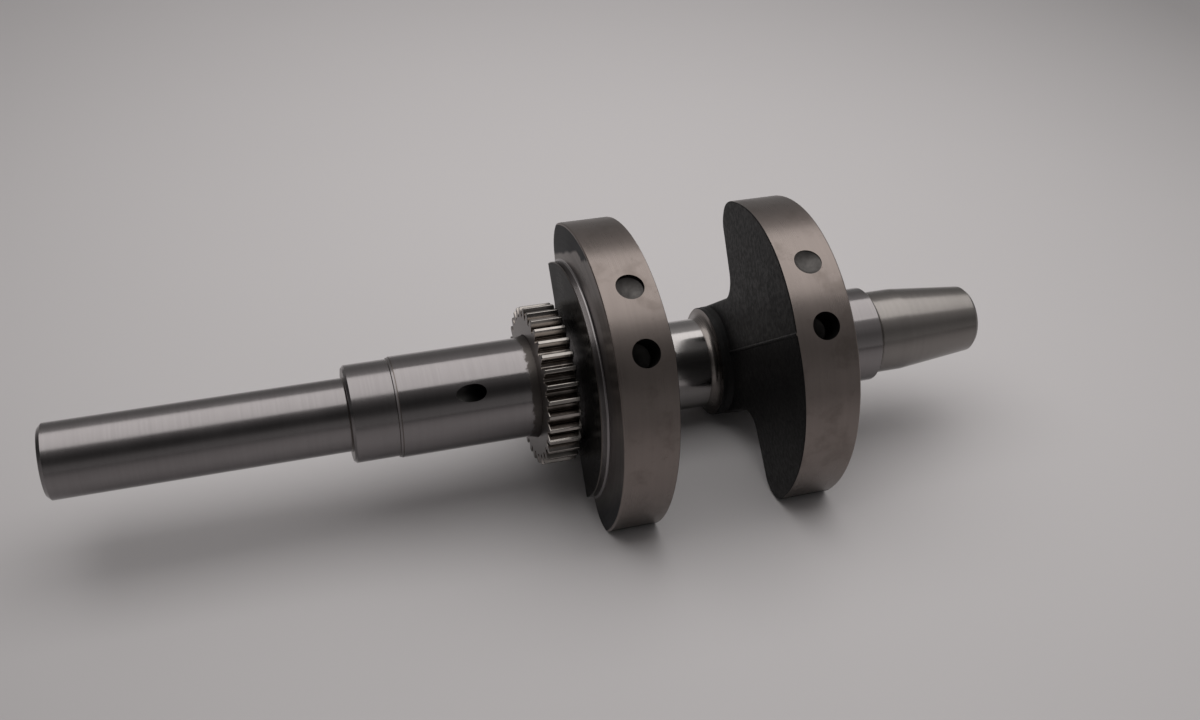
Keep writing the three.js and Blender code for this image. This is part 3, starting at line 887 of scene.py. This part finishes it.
def forged_tips(t, place, base, rough):
    """Black scale left on the two tips of a web's turned outer face, fading at its border; the lower
    tip's wide border makes the face darken gradually towards the bottom.
    """
    position, _, u, w, _ = place
    across = t.math("MULTIPLY", t.math("ABSOLUTE", w), 1 / MM)
    wander = t.remap(t.noise(position, 110.0, detail=3.0), 0.3, 0.7, -0.7, 0.7)
    streaks = t.noise(t.math("MULTIPLY", u, 900.0), 1.0, detail=3.0)
    upper = t.math("GREATER_THAN", w, 0)
    depth = t.remap(u, NOTCH_START * MM, (NOTCH_START - 7) * MM, 0, 9, smooth=True)
    notch = t.math("MULTIPLY", t.math("MULTIPLY", depth, upper), streaks)
    border = t.math("SUBTRACT", t.math("ADD", t.math("MULTIPLY", u, TIP_SLOPE / MM), wander), notch)
    beyond = t.math("SUBTRACT", t.math("SUBTRACT", across, border), TIP_BORDER)
    fade = t.remap(upper, 0, 1, LOWER_TIP_FADE, UPPER_TIP_FADE)
    mask = t.remap(t.math("DIVIDE", beyond, fade), -1, 1, 0, 1, smooth=True)
    scale = t.mix(t.noise(position, 900.0), *TIP_SHADES)
    return t.mix(mask, base, scale), t.math("ADD", rough, t.math("MULTIPLY", mask, 0.22))


def near_black_face():
    """Thrust face of the flange: near black, with almost no reflection, and faint turning marks."""
    t = Tree(bpy.data.materials.new("near_black_thrust_face"))
    position, x, u, w, radius = t.turning()
    marks = t.tool_marks(x, u, w, radius, 0.3, 30)
    cloud = t.noise(position, 70.0, detail=4.0)
    base = t.mix(t.remap(cloud, 0.35, 0.65, 0, 1), *NEAR_BLACK_SHADES)
    rough = t.remap(t.math("ADD", marks, cloud), 0.7, 1.3, 0.24, 0.34)
    normal = t.add("Bump", {"Height": marks, "Strength": 1.0, "Distance": 0.0008 * MM}).outputs["Normal"]
    return t.set(Base_Color=base, Metallic=0.0, Roughness=rough, Specular_IOR_Level=0.03, Normal=normal)


def drop_forged():
    """Black forging scale with a fine leathery grain."""
    t = Tree(bpy.data.materials.new("drop_forged_scale"))
    position = t.crank_position()
    grain = t.noise(position, 1300.0, detail=4.0, rough=0.65)
    pebble = t.noise(position, 560.0, detail=3.0, rough=0.5)
    cloud = t.noise(position, 60.0, detail=4.0)
    base = t.mix(t.remap(cloud, 0.35, 0.65, 0, 1), *SCALE_SHADES)
    base = t.mix(t.remap(grain, 0.58, 0.72, 0, 0.5), base, SCALE_FLECKS)
    rough = t.remap(pebble, 0.35, 0.65, 0.43, 0.57)
    height = t.math("ADD", t.math("MULTIPLY", grain, 0.5), pebble)
    normal = t.add("Bump", {"Height": height, "Strength": 0.8, "Distance": 0.1 * MM}).outputs["Normal"]
    return t.set(Base_Color=base, Metallic=0.0, Roughness=rough, Specular_IOR_Level=0.22, Normal=normal)


def drilled(name, colour, roughness):
    """Wall and bottom left by a twist drill."""
    t = Tree(bpy.data.materials.new(name))
    position = t.crank_position()
    marks = t.noise(position, 900.0, detail=4.0)
    cloud = t.noise(position, 200.0, detail=3.0)
    base = t.mix(t.remap(cloud, 0.35, 0.65, 0, 1), shade(colour, 0.7), shade(colour, 1.15))
    rough = t.remap(marks, 0.3, 0.7, roughness - 0.06, roughness + 0.06)
    normal = t.add("Bump", {"Height": marks, "Strength": 0.7, "Distance": 0.04 * MM}).outputs["Normal"]
    return t.set(Base_Color=base, Metallic=1.0, Roughness=rough, Normal=normal)


def forging_materials():
    found = {
        SATIN: machined("ground_satin", STEEL, 0.21, 0.12, 0.003),
        TAPER: machined("turned_taper", TAPER_STEEL, 0.23, 0.16, 0.0022),
        POLISHED: machined("ground_journal", STEEL, 0.14, 0.08, 0.0015, layers=[seat_film_and_gear_shade]),
        PIN: machined("ground_crankpin", PIN_STEEL, 0.14, 0.08, 0.001, axis_u=THROW),
        PIN_SIDE: machined("ground_thrust_ring", THRUST_STEEL, 0.26, 0.12, 0.002, axis_u=THROW),
        RIM: machined("turned_rim", WARM_STEEL, 0.29, 0.2, 0.0015, layers=[stained]),
        FACE: machined("turned_face", DULL_STEEL, 0.3, 0.22, 0.002, tint=0.34, layers=[forged_tips]),
        FLANGE: near_black_face(),
        FORGED: drop_forged(),
        DRILLED: drilled("drilled_bore", BORE_STEEL, 0.45),
        DIMPLE: drilled("drilled_dimple", DIMPLE_STEEL, 0.5),
    }
    return [found[slot] for slot in range(len(found))]


# ---------------------------------------------------------------- floor, light and camera

TABLE_HALF = 4.0  # metres
TABLE_SHADES = ((0.68, 0.66, 0.666, 1), (0.71, 0.689, 0.695, 1))
# painted pool of light: the table's colour is palest in a long patch behind the shaft and darkens slowly
# towards its edges, in metres
PAINTED_POOL_CENTRE = (0.1, 0.95)
PAINTED_POOL_SQUEEZE = 0.4
PAINTED_POOL_REACH = 0.36
PAINTED_POOL_SHADES = (1.1, 0.63)


def pale_floor():
    t = Tree(bpy.data.materials.new("pale_table"))
    place = t.add("TexCoord").outputs["Object"]
    cloud = t.noise(place, 3.0, detail=3.0)
    grain = t.noise(place, 900.0, detail=2.0)
    x, y, _ = t.add("SeparateXYZ", {"Vector": place}).outputs
    # painted pool of light, multiplied into the table's colour
    aside = t.math("POWER", t.math("SUBTRACT", x, PAINTED_POOL_CENTRE[0]), 2)
    along = t.math("POWER", t.math("MULTIPLY", t.math("SUBTRACT", y, PAINTED_POOL_CENTRE[1]), PAINTED_POOL_SQUEEZE), 2)
    painted_pool = t.remap(t.math("ADD", aside, along), 0, PAINTED_POOL_REACH, *PAINTED_POOL_SHADES)
    base = t.mix(cloud, *TABLE_SHADES)
    grey = t.add("CombineColor", {0: painted_pool, 1: painted_pool, 2: painted_pool}).outputs["Color"]
    base = t.mix(1.0, base, grey, blend="MULTIPLY")
    rough = t.remap(grain, 0.3, 0.7, 0.36, 0.42)
    material = t.set(Base_Color=base, Roughness=rough, Specular_IOR_Level=0.25)
    mesh = bpy.data.meshes.new("table_top")
    corners = [(TABLE_HALF * x, TABLE_HALF * y, 0) for x, y in ((-1, -1), (1, -1), (1, 1), (-1, 1))]
    mesh.from_pydata(corners, [], [[0, 1, 2, 3]])
    mesh.materials.append(material)
    floor = bpy.data.objects.new("table_top", mesh)
    bpy.context.scene.collection.objects.link(floor)


# brightness of the room by angle from the horizon in front, over the top, to the horizon behind
ROOM = [(0, 0.25), (15, 0.20), (53, 0.13), (63, 0.16), (72, 0.24), (120, 0.5), (139, 0.38), (149, 0.28),
        (160, 0.23), (180, 0.26)]
# share of it that is left in front, where the photographer stands, and to the side of that
SHADED = [(0, 1), (15, 1), (25, 0.4), (35, 0.25), (43, 0.35), (58, 1), (180, 1)]
BESIDE = [(0, 0.5), (30, 0.4), (40, 0.6), (50, 0.9), (64, 1), (75, 0.4), (180, 0.4)]
BESIDE_GAIN = 2.6
FAR_SIDE = (0.25, 0.25, 0.25, 1)


def ramp(t, value, levels):
    """Slightly warm grey ramp over half a turn, from (degrees, brightness) steps."""
    node = t.add("ValToRGB", {0: value})
    elements = node.color_ramp.elements
    while len(elements) > 1:
        elements.remove(elements[-1])
    for n, (degrees, level) in enumerate(levels):
        element = elements[0] if n == 0 else elements.new(degrees / 180)
        element.position = degrees / 180
        element.color = (level, level * 0.985, level * 0.98, 1)
    return node.outputs["Color"]


def room_light():
    """Soft room, darker where the photographer stands and far out on the output side."""
    world = bpy.data.worlds.new("room")
    bpy.context.scene.world = world
    t = Tree(world, "Background")
    x, y, z = t.add("SeparateXYZ", {0: t.add("TexCoord").outputs["Generated"]}).outputs
    share = t.math("DIVIDE", t.math("ARCTAN2", z, t.math("MULTIPLY", y, -1)), math.pi)
    sideways = t.math("ABSOLUTE", x)
    beside = t.mix(1.0, ramp(t, share, BESIDE), (*[BESIDE_GAIN] * 3, 1), blend="MULTIPLY")
    shadow = t.mix(t.remap(sideways, 0.2, 0.45, 0, 1, smooth=True), ramp(t, share, SHADED), beside)
    far = t.mix(t.remap(x, -0.55, -0.85, 0, 1, smooth=True), shadow, FAR_SIDE)
    t.set(Color=t.mix(1.0, ramp(t, share, ROOM), far, blend="MULTIPLY"))


def softbox(name, place, aim, size, power, colour=(1, 0.985, 0.97)):
    light = bpy.data.lights.new(name, "AREA")
    light.shape = "RECTANGLE"
    light.size, light.size_y = size
    light.energy = power
    light.color = colour
    lamp = bpy.data.objects.new(name, light)
    lamp.location = place
    lamp.rotation_euler = (Vector(aim) - Vector(place)).to_track_quat("-Z", "Y").to_euler()
    bpy.context.scene.collection.objects.link(lamp)


# one lamp hangs level over the shaft, in metres and watts
LAMP_PLACE = (0.15, 0.104, 0.7)
LAMP_SIZE = (1.3, 0.756)
LAMP_POWER = 3.85

CAMERA_OFFSET = Vector((76.5, -424.1, 292.2))  # from the output end of the shaft's axis, millimetres
CAMERA_YAW = math.radians(17.66)
CAMERA_PITCH = math.radians(32.64)
CAMERA_ROLL = math.radians(0.98)
CAMERA_LENS = 39.54


def place_camera():
    data = bpy.data.cameras.new("camera")
    data.lens = CAMERA_LENS
    data.sensor_width = 36
    camera = bpy.data.objects.new("camera", data)
    turn = Matrix.Rotation(-CAMERA_YAW, 4, "Z") @ Matrix.Rotation(math.pi / 2 - CAMERA_PITCH, 4, "X")
    turn = turn @ Matrix.Rotation(CAMERA_ROLL, 4, "Z")
    camera.matrix_world = Matrix.Translation(CRANK.to_translation() + CAMERA_OFFSET * MM) @ turn
    bpy.context.scene.collection.objects.link(camera)
    bpy.context.scene.camera = camera


# ---------------------------------------------------------------- assembly

crankshaft = forging(forging_materials())
crankshaft.name = "crankshaft_body"
gear = timing_gear([
    machined("hobbed_teeth", GEAR_STEEL, 0.15, 0.3, 0.003, tint=0.12, layers=[tooth_root_darkening]),
    machined("gear_side", GEAR_SIDE_STEEL, 0.36, 0.25, 0.003, tint=0.1),
])
key = timing_key(machined("drawn_key", STEEL, 0.3, 0.2, 0.004))
plug = cup_plug(machined("pressed_plug", STEEL, 0.28, 0.2, 0.004, axis_u=THROW))

for piece, node, slot in (
    (crankshaft, "crankshaft_forging", "ground_steel"),
    (gear, "timing_gear", "gear_steel"),
    (key, "timing_gear_key", "key_steel"),
    (plug, "oil_gallery_plug", "key_steel"),
):
    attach(piece, "root")
    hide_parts(node)

bpy.context.scene.view_settings.view_transform = "Standard"
pale_floor()
room_light()
softbox("overhead", LAMP_PLACE, (*LAMP_PLACE[:2], 0), LAMP_SIZE, LAMP_POWER)
place_camera()
